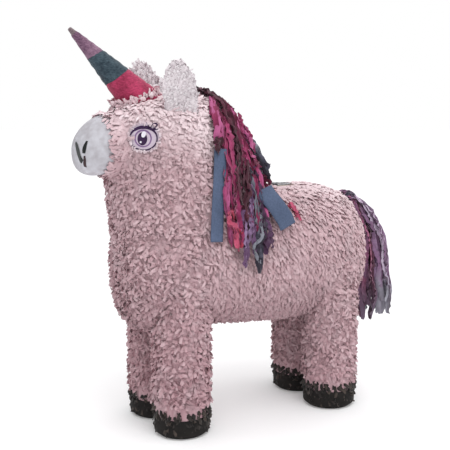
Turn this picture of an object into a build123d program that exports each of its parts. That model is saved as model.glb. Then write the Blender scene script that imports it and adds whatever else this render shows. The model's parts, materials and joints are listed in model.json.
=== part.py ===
from build123d import *
import math
import os

# Unicorn pinata, standing on four hooves. Millimetres, +Z up, the face looks
# along -Y and the left flank is on +X. The origin is on the floor, midway
# between the four legs. Papier-mache shells carry a skin of tissue fringe.

# ---------------------------------------------------------------- driving sizes
FRINGE = 7.0            # depth of the tissue fringe over the shells
WALL = 3.5              # papier-mache wall of torso, neck and head
GAP = 0.4               # paper-thin clearance beside moving pieces

LEG_X = 44.0            # half the spacing of left and right legs
LEG_Y = 125.0           # half the spacing of front and rear legs
LEG_RADIUS = 35.0       # cardboard tube, outside
LEG_WALL = 2.5
LEG_TOP = 238.0         # the tubes run up beside the belly, and are cut to it
SOLE_RADIUS = 34.0
SOLE_THICK = 3.0
HOOF_TOP = 27.0         # the black hoof paper ends and the pink fringe starts
HOOF_DEPTH = 4.0

# Each line is one elliptical section of the shell, outside the wall.
# torso: (y, centre z, half width, half height)
TORSO = [
    (-192, 232, 27, 39), (-181, 230, 55, 73), (-147, 234, 75, 90), (-90, 239, 81, 94),
    (-20, 238, 81, 96), (60, 236, 81, 98), (121, 235, 79, 95), (155, 232, 69, 85),
    (179, 228, 48, 66), (192, 225, 21, 31),
]
# neck and crown: (z, centre y, half width, half depth)
NECK = [
    (250, -95, 77, 99), (275, -95, 76, 103), (300, -95, 75, 106), (340, -100, 71, 105), (385, -112, 67, 97),
    (418, -121, 64, 89), (438, -121, 56, 83), (452, -118, 43, 71), (461, -117, 26, 51), (465, -116, 10, 32),
]
# muzzle: (y, centre z, half width, half height)
MUZZLE = [
    (-150, 405, 55, 38), (-205, 403, 41.5, 38), (-230, 398, 38.5, 36.5), (-246, 393, 31.5, 28),
    (-254, 391, 18, 16),
]
HEAD_SPLIT = 385.0      # the head shell sits on the neck shell at this height
MUZZLE_SPLIT = -216.0   # white paper in front of this, pink fringe behind it
COVER = 1.2             # white paper layers over the muzzle
THIN_FRINGE = 2.5       # the pink fringe thins to this where it meets the white muzzle

HORN_BASE = Vector(0, -165.5, 460)
HORN_TIP = Vector(0, -260.5, 551.5)
HORN_BASE_RADIUS = 24.2
HORN_TIP_RADIUS = 1.6
HORN_WALL = 1.4
HORN_WRAP = 1.0
HORN_ROOT = -0.30       # share of the horn's length that is buried in the head
HORN_BANDS = {"crimson": (HORN_ROOT, 0.33), "teal": (0.33, 0.63), "mauve": (0.63, 0.93)}

EAR_BASE = (53.0, -127.0, 455.0)
EAR_TURN = 8.0          # degrees the ear turns its inside towards the front
EAR_LEAN = 9.0          # degrees the ear leans outwards
EAR_CARD = 1.6
EAR_LINING = 0.6
EAR_FRINGE = 4.5

EYE_CENTRE = (55.4, -181.5, 412.5)
EYE_SIZE = (21.0, 19.5)   # half width and half height of the printed card
EYE_FACING = 31.0         # degrees from straight sideways towards the front
EYE_THICK = 1.0
EYE_PRESS = 1.8           # the card is pressed this deep into the fringe

FLAP_Y = (0.0, 78.0)    # the flap lies between these, along the right flank
FLAP_ANGLE = 56.0         # where its hinge is, measured round the torso section
FLAP_DROP = 66.0          # hinge to lower edge
FLAP_EDGE_GAP = 0.9

RING_Y = 50.0             # hanging ring's pivot
RING_WIRE = 1.3           # radius
RING_HALF = 13.0
RING_REACH = 27.0
PLATE_THICK = 1.2
PLATE_SEAT = 1.2          # depth of the flat pressed in the shell under the plate
BACKING = 2.5

os.makedirs("parts", exist_ok=True)


# ---------------------------------------------------------------- shared shapes
def torso_body(grow):
    """Torso surface moved outwards by grow."""
    reach = (TORSO[-1][0] - TORSO[0][0]) / 2
    middle = (TORSO[-1][0] + TORSO[0][0]) / 2
    faces = []
    for y, zc, ax, az in TORSO:
        place = Plane(
            origin=(0, middle + (y - middle) * (1 + grow / reach), zc), x_dir=(1, 0, 0), z_dir=(0, -1, 0)
        )
        faces.append(place * Ellipse(ax + grow, az + grow))
    return loft(faces)


def neck_body(grow):
    """Neck and crown as one column, moved outwards by grow."""
    bottom, top = NECK[0][0], NECK[-1][0]
    faces = []
    for z, yc, ax, ay in NECK:
        lift = grow * (z - bottom) / (top - bottom)
        faces.append(Plane(origin=(0, yc, z + lift)) * Ellipse(ax + grow, ay + grow))
    return loft(faces)


def muzzle_body(grow):
    """Muzzle, moved outwards by grow; its rear end is buried in the head."""
    front, rear = MUZZLE[-1][0], MUZZLE[0][0]
    faces = []
    for y, zc, ax, az in MUZZLE:
        forward = grow * (y - rear) / (front - rear)
        place = Plane(origin=(0, y - forward, zc), x_dir=(1, 0, 0), z_dir=(0, -1, 0))
        faces.append(place * Ellipse(ax + grow, az + grow))
    return loft(faces)


def muzzle_fringe_body():
    """Outside of the pink fringe on the muzzle, thinner towards the white paper."""
    faces = []
    for y, grow in ((MUZZLE[0][0], FRINGE), (-185, FRINGE), (-205, 5), (MUZZLE_SPLIT - 1, THIN_FRINGE)):
        _, zc, ax, az = between(MUZZLE, y)
        place = Plane(origin=(0, y, zc), x_dir=(1, 0, 0), z_dir=(0, -1, 0))
        faces.append(place * Ellipse(ax + grow, az + grow))
    return loft(faces)


def block(x0, x1, y0, y1, z0, z1):
    """Box between two corners."""
    middle = Pos((x0 + x1) / 2, (y0 + y1) / 2, (z0 + z1) / 2)
    return middle * Box(x1 - x0, y1 - y0, z1 - z0)


def tube_stack(stations):
    """Soft tapering lock through horizontal discs (x, y, z, radius)."""
    return loft([Plane(origin=(x, y, z)) * Circle(r) for x, y, z, r in stations])


def rod(start, end, radius):
    """Round bar from start to end."""
    start, end = Vector(start), Vector(end)
    place = Plane(origin=start, z_dir=(end - start).normalized())
    return extrude(place * Circle(radius), (end - start).length)


def between(table, key):
    """Straight-line reading of a station table, first column rising or falling."""
    rows = sorted(table)
    key = min(max(key, rows[0][0]), rows[-1][0])
    for low, high in zip(rows, rows[1:]):
        if key <= high[0]:
            share = (key - low[0]) / (high[0] - low[0])
            return [a + (b - a) * share for a, b in zip(low, high)]


def side_x(y, z, grow):
    """Half width of the animal at y and z, outside its fringe by grow."""
    _, yc, nx, ny = between(NECK, z)
    _, zc, tx, tz = between(TORSO, y)
    in_neck = 1 - ((y - yc) / (ny + grow)) ** 2
    in_torso = 1 - ((z - zc) / (tz + grow)) ** 2
    return max(
        (nx + grow) * math.sqrt(max(in_neck, 0)),
        (tx + grow) * math.sqrt(max(in_torso, 0)),
    )


def largest(shape):
    """The one big solid, without crumbs that a cut leaves at an edge."""
    return max(shape.solids(), key=lambda s: s.volume)


made = {}


def keep(name, shape):
    """Write one node and remember it."""
    made[name] = shape
    export_step(shape, f"parts/{name}.step")


# ---------------------------------------------------------------- bodies at each level
torso_out, neck_out, muzzle_out = torso_body(0), neck_body(0), muzzle_body(0)
torso_in, neck_in, muzzle_in = torso_body(-WALL), neck_body(-WALL), muzzle_body(-WALL)
torso_skin, neck_skin, muzzle_skin = torso_body(FRINGE), neck_body(FRINGE), muzzle_fringe_body()
far = 400
above_split = block(-far, far, -far, far, HEAD_SPLIT, 2 * far)
before_split = block(-far, far, -far, MUZZLE_SPLIT, 0, 2 * far)


# ---------------------------------------------------------------- legs and hooves
def build_leg(corner, x, y):
    """Cardboard tube, pink fringe sleeve, black hoof paper and card sole."""
    spot = Pos(x, y, 0)
    low = (Align.CENTER, Align.CENTER, Align.MIN)

    def post(radius, bottom, top):
        return spot * Pos(0, 0, bottom) * Cylinder(radius, top - bottom, align=low)

    sole = fillet(post(SOLE_RADIUS, 0, SOLE_THICK).edges().sort_by(Axis.Z)[0], 1.6)
    keep(f"hoof_sole_{corner}", sole)
    tube = post(LEG_RADIUS, SOLE_THICK, LEG_TOP) - post(LEG_RADIUS - LEG_WALL, 0, LEG_TOP)
    keep(f"leg_tube_{corner}", largest(tube - torso_out))
    sleeve = post(LEG_RADIUS + FRINGE, HOOF_TOP, LEG_TOP) - post(LEG_RADIUS, 0, LEG_TOP)
    keep(f"leg_fringe_{corner}", largest(sleeve - torso_skin))
    hoof = post(LEG_RADIUS + HOOF_DEPTH, SOLE_THICK, HOOF_TOP)
    hoof = fillet(hoof.edges().sort_by(Axis.Z)[0], 3.6)
    keep(f"hoof_paper_{corner}", hoof - post(LEG_RADIUS, 0, LEG_TOP))
    return post(LEG_RADIUS, SOLE_THICK, LEG_TOP)


leg_posts = [
    build_leg("front_left", LEG_X, -LEG_Y),
    build_leg("front_right", -LEG_X, -LEG_Y),
    build_leg("rear_left", LEG_X, LEG_Y),
    build_leg("rear_right", -LEG_X, LEG_Y),
]


# ---------------------------------------------------------------- fill flap tools
_, flap_zc, flap_ax, flap_az = between(TORSO, sum(FLAP_Y) / 2)
angle = math.radians(FLAP_ANGLE)
skin_ax, skin_az = flap_ax + FRINGE, flap_az + FRINGE
flap_out = Vector(-math.cos(angle) / skin_ax, 0, math.sin(angle) / skin_az).normalized()
flap_up = Vector(flap_out.Z, 0, -flap_out.X)
flap_hinge = Vector(-skin_ax * math.cos(angle), 0, flap_zc + skin_az * math.sin(angle)) + flap_out * 0.3


def flap_tool(y0, y1, radius, lift):
    """Quarter-round cutter about the hinge: its edges clear the swing."""
    at = flap_hinge + Vector(0, y0, 0)
    drum = extrude(Plane(origin=at, x_dir=(1, 0, 0), z_dir=(0, 1, 0)) * Circle(radius), y1 - y0)
    below = Plane(origin=flap_hinge + flap_up * lift, x_dir=(0, 1, 0), z_dir=-flap_up)
    return drum & extrude(below * Rectangle(2 * far, 2 * far), far)


flap_cut = flap_tool(FLAP_Y[0] + GAP, FLAP_Y[1] - GAP, FLAP_DROP, -GAP / 2)
hole_cut = flap_tool(FLAP_Y[0], FLAP_Y[1], FLAP_DROP + FLAP_EDGE_GAP, GAP / 2)
tape_place = Plane(origin=flap_hinge + flap_up * (GAP / 2), x_dir=(0, 1, 0), z_dir=flap_up)
tape_zone = extrude(tape_place * Pos(sum(FLAP_Y) / 2, 0) * Rectangle(66, 60), 14)


# ---------------------------------------------------------------- hanging ring
_, ring_zc, _, ring_az = between(TORSO, RING_Y)
crown = ring_zc + ring_az
knuckle_z = crown + 2.6
ring_pivot = Vector(0, RING_Y, knuckle_z)
plate_box = (-12, 12, RING_Y - 17, RING_Y + 3)
pocket = block(-17, 17, RING_Y - 19, RING_Y + 29, crown - 20, crown + 20)
seat = block(*plate_box, crown - PLATE_SEAT, crown + 5)

rivet_spots = [(-8, RING_Y - 11), (8, RING_Y - 11)]
shanks = [rod((x, y, crown - 8.7), (x, y, crown + 1), 1.5) for x, y in rivet_spots]
rivets = []
for (x, y), shank in zip(rivet_spots, shanks):
    heads = rod((x, y, crown), (x, y, crown + 1), 3) + rod((x, y, crown - 8.7), (x, y, crown - 7.6), 3.4)
    rivets.append(shank + heads)
keep("hanger_rivets", Compound(children=rivets))

plate = block(*plate_box, crown - PLATE_SEAT, crown)
plate = plate + rod(ring_pivot - Vector(7, 0, 0), ring_pivot + Vector(7, 0, 0), 2.9)
plate = plate - rod(ring_pivot - Vector(9, 0, 0), ring_pivot + Vector(9, 0, 0), RING_WIRE + 0.3)
keep("hanger_plate", plate - shanks[0] - shanks[1])


def hanging_ring():
    """D-shaped wire: a straight bar in the knuckle, two sides and a round end."""
    straight = RING_REACH - RING_WIRE - RING_HALF
    corners = [ring_pivot + Vector(side * RING_HALF, 0, 0) for side in (-1, 1)]
    ends = [c + Vector(0, straight, 0) for c in corners]
    wire = rod(corners[0], corners[1], RING_WIRE)
    for corner, end in zip(corners, ends):
        wire += rod(corner, end, RING_WIRE) + Pos(*corner) * Sphere(RING_WIRE)
    section = Plane(origin=ends[1], x_dir=(1, 0, 0), z_dir=(0, 1, 0)) * Circle(RING_WIRE)
    bend_axis = Axis(ring_pivot + Vector(0, straight, 0), (0, 0, 1))
    return wire + revolve(section, bend_axis, 180)


keep("hanger_ring", hanging_ring())
backing = (torso_in - torso_body(-WALL - BACKING)) & block(-26, 26, RING_Y - 30, RING_Y + 20, crown - 40, far)
keep("hanger_backing_card", backing - shanks[0] - shanks[1])


# ---------------------------------------------------------------- tail root
TAIL_SPOT = Vector(0, 172, 300)
tail_way = Vector(0, 0.62, 0.78).normalized()
tail_plug = rod(TAIL_SPOT - tail_way * 8, TAIL_SPOT + tail_way * 15, 11)
keep("tail_root", tail_plug)


# ---------------------------------------------------------------- torso
shell = torso_out - torso_in
keep("torso_shell", largest(shell - hole_cut - seat - shanks[0] - shanks[1] - tail_plug))
keep("fill_flap", largest(shell & flap_cut))
keep("flap_hinge_tape", largest((torso_body(0.5) - torso_out) & tape_zone))
skin = torso_skin - torso_out
keep("fill_flap_fringe", largest(skin & flap_cut))
tape_hollow = (torso_body(0.5) - torso_out) & tape_zone
torso_fringe = skin - neck_out - hole_cut - pocket - tail_plug - tape_hollow
for post in leg_posts:
    torso_fringe -= post
keep("torso_fringe", largest(torso_fringe))


# ---------------------------------------------------------------- neck and head
neck_low = neck_out - above_split
keep("neck_shell", largest(neck_low - neck_in - torso_out))
neck_fringe = largest(neck_skin - above_split - neck_out - torso_skin - muzzle_skin)
keep("neck_fringe", neck_fringe)

head_out = (neck_out & above_split) + (muzzle_out - neck_low)
floor_level = block(-far, far, -far, far, 0, HEAD_SPLIT + WALL)
head_hollow = (neck_in - floor_level) + muzzle_in
keep("head_shell", largest(head_out - head_hollow))


def horn_slice(start, stop, extra):
    """Frustum of the horn between two shares of its length."""
    axis = HORN_TIP - HORN_BASE
    taper = HORN_TIP_RADIUS - HORN_BASE_RADIUS
    place = Plane(origin=HORN_BASE + axis * start, z_dir=axis.normalized())
    low, high = (HORN_BASE_RADIUS + taper * share + extra for share in (start, stop))
    cone = Cone(low, high, axis.length * (stop - start), align=(Align.CENTER, Align.CENTER, Align.MIN))
    return place * cone


last_band = HORN_BANDS["mauve"][1]
cone = horn_slice(HORN_ROOT, last_band, 0)
cone_hollow = horn_slice(HORN_ROOT, last_band - 0.03, -HORN_WALL)
keep("horn_cone", largest(cone - cone_hollow - neck_out))
for colour, (start, stop) in HORN_BANDS.items():
    wrap = horn_slice(start, stop, HORN_WRAP) - horn_slice(start, stop, 0)
    keep(f"horn_wrap_{colour}", largest(wrap - neck_out))
tip = horn_slice(last_band, 1.0, HORN_WRAP)
rim = tip.edges().filter_by(GeomType.CIRCLE).sort_by(Axis.Z)[-1]
keep("horn_tip", fillet(rim, 1.8))
horn_solid = horn_slice(HORN_ROOT, last_band, HORN_WRAP)


# ---------------------------------------------------------------- ears
def ear_place(offset):
    """Plane of the left ear, moved along its own outward normal."""
    turn, lean = math.radians(EAR_TURN), math.radians(EAR_LEAN)
    rearwards = Vector(math.sin(turn), math.cos(turn), 0)
    outwards = Vector(
        math.cos(turn) * math.cos(lean), -math.sin(turn) * math.cos(lean), -math.sin(lean)
    )
    return Plane(origin=Vector(*EAR_BASE) + outwards * offset, x_dir=rearwards, z_dir=outwards)


def ear_outline(inset):
    """Rounded ear with its tip set a little forward, in rearwards and up."""
    k = inset
    curve = Spline(
        (-22 + k, 4), (-27 + k, 22), (-21 + k, 43 - k / 2), (-9, 56 - k),
        (4 - k / 2, 50 - k), (17 - k, 31), (22 - k, 6),
    )
    foot = Polyline((22 - k, 6), (22 - k, -24), (-22 + k, -24), (-22 + k, 4))
    return make_face(Curve() + [curve, foot])


def ear_layer(offset, thick, inset):
    return extrude(ear_place(offset) * ear_outline(inset), thick)


ear_card = largest(ear_layer(0, EAR_CARD, 0) - neck_out)
ear_lining = largest(ear_layer(EAR_CARD, EAR_LINING, 5) - neck_skin)
ear_fringe = largest(ear_layer(-EAR_FRINGE, EAR_FRINGE, 0) - neck_skin)
for name, solid in (("card", ear_card), ("lining", ear_lining), ("fringe", ear_fringe)):
    keep(f"ear_left_{name}", solid)
    keep(f"ear_right_{name}", mirror(solid, Plane.YZ))


# ---------------------------------------------------------------- eyes and face prints
def eye_place():
    facing = math.radians(EYE_FACING)
    out = Vector(math.cos(facing), -math.sin(facing), 0)
    rearwards = Vector(math.sin(facing), math.cos(facing), 0)
    return Plane(origin=Vector(*EYE_CENTRE) - out * EYE_PRESS, x_dir=rearwards, z_dir=out)


eye = extrude(eye_place() * Ellipse(*EYE_SIZE), EYE_THICK)
eye_room = extrude(eye_place() * Ellipse(*EYE_SIZE), 30)
keep("eye_left", eye)
keep("eye_right", mirror(eye, Plane.YZ))

cover_out = muzzle_body(COVER)
keep("muzzle_cover", largest((cover_out - muzzle_out) & before_split))
print_layer = muzzle_body(COVER + 0.5) - cover_out


def slit(x0, z0, x1, z1, width):
    """Straight rounded stroke through the front of the muzzle."""
    length = math.hypot(x1 - x0, z1 - z0)
    tilt = math.degrees(math.atan2(z1 - z0, x1 - x0))
    place = Plane(origin=((x0 + x1) / 2, MUZZLE_SPLIT - 8, (z0 + z1) / 2), x_dir=(1, 0, 0), z_dir=(0, -1, 0))
    return extrude(place * Rot(0, 0, tilt) * SlotCenterToCenter(length, width), 60)


far_nostril = (slit(3, 403, 11, 393, 4.0) + slit(11, 393, 19, 381, 4.4)) & print_layer
near_nostril = slit(24.5, 405, 26.5, 394, 4.8) & print_layer
keep("nostril_prints", Compound(children=[largest(far_nostril), largest(near_nostril)]))
keep("mouth_print", largest(slit(26, 387, 22.5, 375, 4.0) & print_layer))

head_fringe = (neck_skin & above_split) + muzzle_skin
head_fringe = head_fringe - neck_out - muzzle_out - before_split - horn_solid - eye_room
head_fringe = head_fringe - mirror(eye_room, Plane.YZ)
ear_room = ear_layer(0, EAR_CARD, 0)
head_fringe = head_fringe - ear_room - mirror(ear_room, Plane.YZ)
keep("head_fringe", largest(head_fringe))


# ---------------------------------------------------------------- mane
strip = (neck_body(FRINGE + 2) - neck_skin) & block(-10, 10, -75, 60, 340, 480)
crest_strip = largest(strip - torso_skin)
keep("mane_crest_strip", crest_strip)

# Each lock is (y, z, radius) down the left side; x follows the animal's side.
MANE_LOCKS = {
    "mane_magenta_front": [
        (-46, 449, 7), (-52, 416, 7.5), (-54, 375, 7.5), (-56, 335, 7.5), (-60, 300, 7.5), (-62, 262, 5)
    ],
    "mane_burgundy": [
        (-34, 441, 10), (-34, 410, 10), (-37, 375, 10), (-38, 335, 10), (-41, 295, 8.5), (-43, 262, 5)
    ],
    "mane_magenta_rear": [
        (-10, 420, 10), (-11, 385, 10.5), (-15, 345, 10.5), (-18, 310, 9), (-22, 270, 6.5), (-28, 236, 4)
    ],
    "mane_purple": [(11, 396, 10), (11, 367, 10), (7, 340, 9), (3, 315, 9), (-1, 290, 5)],
    "mane_withers": [(32, 378, 8), (34, 362, 8), (34, 350, 6)],
}
FAR_LOCKS = {
    "mane_far_magenta": [(-45, 444, 8), (-47, 410, 9), (-50, 370, 9), (-52, 330, 9), (-54, 300, 9), (-55, 280, 5)],
    "mane_far_burgundy": [(-22, 430, 8), (-22, 398, 9), (-24, 365, 9), (-26, 330, 9), (-29, 304, 6)],
}


def mane_lock(stations, side):
    """Lock that lies on one flank of the neck and is trimmed to the fringe."""
    discs = [(side * (side_x(y, z, FRINGE) + r), y, z, r) for y, z, r in stations]
    return largest(tube_stack(discs) - neck_fringe - neck_skin - torso_skin - crest_strip)


for name, stations in MANE_LOCKS.items():
    keep(name, mane_lock(stations, 1))
for name, stations in FAR_LOCKS.items():
    keep(name, mane_lock(stations, -1))

RIBBON_WIDTH = 19.0
RIBBON_THICK = 1.6
# Each ribbon section is (y, z, distance off the fringe) at the middle of its width.
LONG_RIBBON = [(-80, 396, 7), (-84, 355, 5), (-88, 315, 4), (-93, 272, 3)]
SHORT_RIBBON = [(12, 338, 29), (23, 313, 17), (36, 285, 5)]


def flat_ribbon(stations):
    """Flat hanging ribbon through level slices."""
    slices = []
    for y, z, off in stations:
        x = side_x(y, z, FRINGE) + off
        slices.append(Plane(origin=(x, y, z)) * Rectangle(RIBBON_THICK, RIBBON_WIDTH))
    return loft(slices)


keep("mane_ribbon_long", flat_ribbon(LONG_RIBBON))
keep("mane_ribbon_short", flat_ribbon(SHORT_RIBBON))


# ---------------------------------------------------------------- tail
# Each lock is (y, z, radius); an inner pair lies on the rump, an outer pair on it.
INNER_TAIL = [
    (182, 304, 6), (190, 288, 7.5), (207, 252, 10.5), (213, 205, 13), (219, 158, 13.5), (220, 130, 12.5),
    (217, 102, 7),
]
OUTER_TAIL = [
    (195.5, 305, 6), (206.5, 288, 7.5), (230, 252, 11), (241, 205, 13.5), (248.5, 158, 13.5),
    (250, 135, 13), (247, 108, 7),
]
TAIL_LOCKS = {
    "tail_burgundy": (14, INNER_TAIL),
    "tail_purple": (-14, INNER_TAIL),
    "tail_mauve": (14, OUTER_TAIL),
    "tail_grey": (-14, OUTER_TAIL),
}
for name, (x, stations) in TAIL_LOCKS.items():
    discs = [(x, y, z, r) for y, z, r in stations]
    keep(name, largest(tube_stack(discs) - torso_skin - tail_plug))
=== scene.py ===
import bpy
import json
import math
import numpy as np
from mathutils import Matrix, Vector, noise
from mathutils.bvhtree import BVHTree

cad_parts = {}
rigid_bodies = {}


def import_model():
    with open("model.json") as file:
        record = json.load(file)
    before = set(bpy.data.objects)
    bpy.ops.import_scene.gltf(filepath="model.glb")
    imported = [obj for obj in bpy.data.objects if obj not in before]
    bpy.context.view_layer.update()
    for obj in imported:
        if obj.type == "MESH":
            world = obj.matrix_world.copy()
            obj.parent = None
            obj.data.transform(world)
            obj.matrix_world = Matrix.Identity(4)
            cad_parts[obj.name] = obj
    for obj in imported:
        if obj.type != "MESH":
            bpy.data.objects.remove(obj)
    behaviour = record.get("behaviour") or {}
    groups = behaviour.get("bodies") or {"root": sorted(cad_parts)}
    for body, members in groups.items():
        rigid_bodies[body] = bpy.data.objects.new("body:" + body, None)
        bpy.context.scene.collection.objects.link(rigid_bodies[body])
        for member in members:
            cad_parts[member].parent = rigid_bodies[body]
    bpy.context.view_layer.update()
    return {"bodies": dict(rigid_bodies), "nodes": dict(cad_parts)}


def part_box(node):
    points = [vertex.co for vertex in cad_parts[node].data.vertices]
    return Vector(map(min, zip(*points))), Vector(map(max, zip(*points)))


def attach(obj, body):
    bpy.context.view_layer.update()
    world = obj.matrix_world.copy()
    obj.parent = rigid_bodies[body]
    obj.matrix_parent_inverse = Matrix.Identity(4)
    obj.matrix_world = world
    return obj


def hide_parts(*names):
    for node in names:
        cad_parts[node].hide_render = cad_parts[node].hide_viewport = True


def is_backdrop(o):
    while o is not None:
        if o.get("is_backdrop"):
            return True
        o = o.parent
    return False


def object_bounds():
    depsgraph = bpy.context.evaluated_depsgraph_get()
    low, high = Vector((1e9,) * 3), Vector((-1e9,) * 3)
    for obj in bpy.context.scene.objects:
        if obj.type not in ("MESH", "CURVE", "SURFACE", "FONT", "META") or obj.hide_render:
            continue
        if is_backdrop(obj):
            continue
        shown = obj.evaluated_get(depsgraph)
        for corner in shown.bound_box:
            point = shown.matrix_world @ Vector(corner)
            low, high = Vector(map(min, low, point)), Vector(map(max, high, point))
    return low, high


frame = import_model()

NODES = frame["nodes"]
ROOT = next(b for b in frame["bodies"] if b not in ("flap", "ring"))
MM = 0.001
WAVE = 6.28          # one full wave, in radians, of a ripple in paper
ROUND = 6.283        # once round a lock of the tail, in radians
CORNERS = ("front_left", "front_right", "rear_left", "rear_right")
SIDES = (("left", 1), ("right", -1))


# ---- colours and materials
def rgb(code):
    """A hex sRGB code such as "c4acb3" to the linear colour that nodes take."""
    out = []
    for k in (0, 2, 4):
        c = int(code[k:k + 2], 16) / 255
        out.append(c / 12.92 if c <= 0.04045 else ((c + 0.055) / 1.055) ** 2.4)
    return (*out, 1)


def dimmed(colour, share):
    return tuple(share * c for c in colour[:3]) + (1,)


class Paint:
    """Small builder for a procedural material around one Principled shader."""

    def __init__(self, name, roughness=0.85, **constants):
        self.material = bpy.data.materials.new(name)
        self.material.use_nodes = True
        self.tree = self.material.node_tree
        self.shader = next(n for n in self.tree.nodes if n.type == "BSDF_PRINCIPLED")
        self.shader.inputs["Roughness"].default_value = roughness
        self.shader.inputs["Specular IOR Level"].default_value = 0.3
        for socket, value in constants.items():
            self.shader.inputs[socket.replace("_", " ")].default_value = value
        self.coords = self.add("ShaderNodeTexCoord").outputs["Object"]

    def add(self, kind, **settings):
        node = self.tree.nodes.new(kind)
        for key, value in settings.items():
            setattr(node, key, value)
        return node

    def join(self, source, target):
        if isinstance(source, (int, float, tuple)):
            target.default_value = source
        else:
            self.tree.links.new(source, target)

    def scaled(self, x, y, z):
        """Object coordinates stretched by these factors."""
        mapping = self.add("ShaderNodeMapping")
        mapping.inputs["Scale"].default_value = (x, y, z)
        self.join(self.coords, mapping.inputs["Vector"])
        return mapping.outputs["Vector"]

    def noise(self, scale, detail=2, coords=None, roughness=0.5):
        node = self.add("ShaderNodeTexNoise")
        self.join(coords or self.coords, node.inputs["Vector"])
        node.inputs["Scale"].default_value = scale
        node.inputs["Detail"].default_value = detail
        node.inputs["Roughness"].default_value = roughness
        return node.outputs["Fac"]

    def attribute(self):
        """What make_mesh stores at a point: place along the tab, its shade, its height, which sets the
        painted shade between tabs.
        """
        node = self.add("ShaderNodeAttribute", attribute_name="tab")
        split = self.add("ShaderNodeSeparateColor")
        self.join(node.outputs["Color"], split.inputs["Color"])
        return split.outputs["Red"], split.outputs["Green"], split.outputs["Blue"]

    def ramp(self, factor, *stops):
        node = self.add("ShaderNodeValToRGB")
        bar = node.color_ramp
        while len(bar.elements) < len(stops):
            bar.elements.new(0.5)
        for element, (place, colour) in zip(bar.elements, stops):
            element.position = place
            element.color = colour if isinstance(colour, tuple) else (colour, colour, colour, 1)
        self.join(factor, node.inputs["Fac"])
        return node.outputs["Color"]

    def mix(self, factor, a, b):
        node = self.add("ShaderNodeMix", data_type="RGBA")
        self.join(factor, node.inputs[0])
        self.join(a, node.inputs[6])
        self.join(b, node.inputs[7])
        return node.outputs[2]

    def colour(self, source):
        self.join(source, self.shader.inputs["Base Color"])
        return self

    def rough(self, source):
        self.join(source, self.shader.inputs["Roughness"])
        return self

    def bump(self, height, depth, strength=1.0):
        """depth is the height of the relief in millimetres."""
        node = self.add("ShaderNodeBump")
        node.inputs["Strength"].default_value = strength
        node.inputs["Distance"].default_value = depth * MM
        self.join(height, node.inputs["Height"])
        self.join(node.outputs["Normal"], self.shader.inputs["Normal"])
        return self


# Painted light from above: tissue that takes it turns paler towards the top and rear, along this way, by
# these shares.
TOP_LIGHT_WAY = (0, 0.35, 1)
TOP_LIGHT_SHARES = ((0.03, 0.06), (0.18, 0.22), (0.31, 0.26), (0.345, 0.42), (0.375, 0.82), (0.41, 0.92))


def tissue(name, painted_gap_shade, *stops, odd=None, top_light=None, ends=None, shaded=False, rough=0.9):
    """Crepe tissue: painted shade between the tabs and along the strips, each tab its own shade, fine
    crepe wrinkles.

    painted_gap_shade is the painted shade between tabs, near the carrier and in dips along strips;
    stops are the shades that tabs and strips take, from dark to pale, and odd is one that turns up
    in patches; top_light is the paler shade, painted light from above, that the tissue takes along
    TOP_LIGHT_WAY, by the shares in TOP_LIGHT_SHARES; ends is the shade at the free ends of strips;
    shaded tissue takes painted shade, darker under the belly.
    """
    paint = Paint(name, rough, Sheen_Weight=0.15, Sheen_Roughness=0.6)
    painted_gap_shade, odd, top_light, ends = (c and rgb(c) for c in (painted_gap_shade, odd, top_light, ends))
    stops = [rgb(c) for c in stops]
    along, shade, height = paint.attribute()
    own = paint.mix(0.3, shade, paint.noise(22, 2))
    places = np.linspace(0.15, 0.8, len(stops))
    body = paint.ramp(own, *((float(place), stop) for place, stop in zip(places, stops)))
    if ends:
        body = paint.mix(paint.ramp(along, (0.7, 0.0), (0.92, 0.85)), body, ends)
    # Painted light from above: paler towards the top and rear, and the painted shade between tabs pales
    # there too.
    if top_light:
        up = paint.add("ShaderNodeVectorMath", operation="DOT_PRODUCT")
        paint.join(paint.coords, up.inputs[0])
        up.inputs[1].default_value = TOP_LIGHT_WAY
        share = paint.ramp(up.outputs["Value"], *TOP_LIGHT_SHARES)
        body = paint.mix(share, body, top_light)
        painted_gap_shade = paint.mix(share, painted_gap_shade, dimmed(top_light, 0.78))
    if odd:
        body = paint.mix(paint.ramp(paint.noise(34, 1), (0.56, 0.0), (0.72, 0.55)), body, odd)
    # Painted shade: tabs are darker where they stand low near the carrier, as if their neighbours shaded
    # them.
    tone = paint.mix(paint.ramp(height, (0.0, 0.25), (0.6, 1.0)), painted_gap_shade, body)
    # Painted shade under the belly: darker low down, as if the body shaded it.
    if shaded:
        split = paint.add("ShaderNodeSeparateXYZ")
        paint.join(paint.coords, split.inputs[0])
        low_down = paint.ramp(split.outputs["Z"], (0.15, 0.4), (0.21, 0.0))
        tone = paint.mix(low_down, tone, dimmed(stops[0], 0.66))
    paint.colour(tone)
    fine = paint.noise(900, 2, paint.scaled(1, 1, 0.35))
    return paint.bump(fine, 0.25, 0.6)


# Two copies of one pink: the second is darker under the belly, which is painted shade.
PINK, BELLY_SHADED_PINK = (
    tissue(
        name, "aa838b", "b48b93", "c19aa1", "ccabb1",
        odd="c0a8ad", top_light="f0dee2", shaded=shaded,
    )
    for name, shaded in (("pink_tissue", False), ("belly_shaded_pink_tissue", True))
)


def plain_paper(name, dark, light, grain=260, depth=0.15, rough=0.8, blotch=30):
    """Paper or card: broad blotches and a fine grain, as noise scales, with a relief in mm."""
    paint = Paint(name, rough)
    tone = paint.mix(0.5, paint.noise(blotch, 3), paint.noise(grain, 3))
    paint.colour(paint.ramp(tone, (0.3, rgb(dark)), (0.7, rgb(light))))
    return paint.bump(paint.noise(grain, 4), depth)


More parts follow.
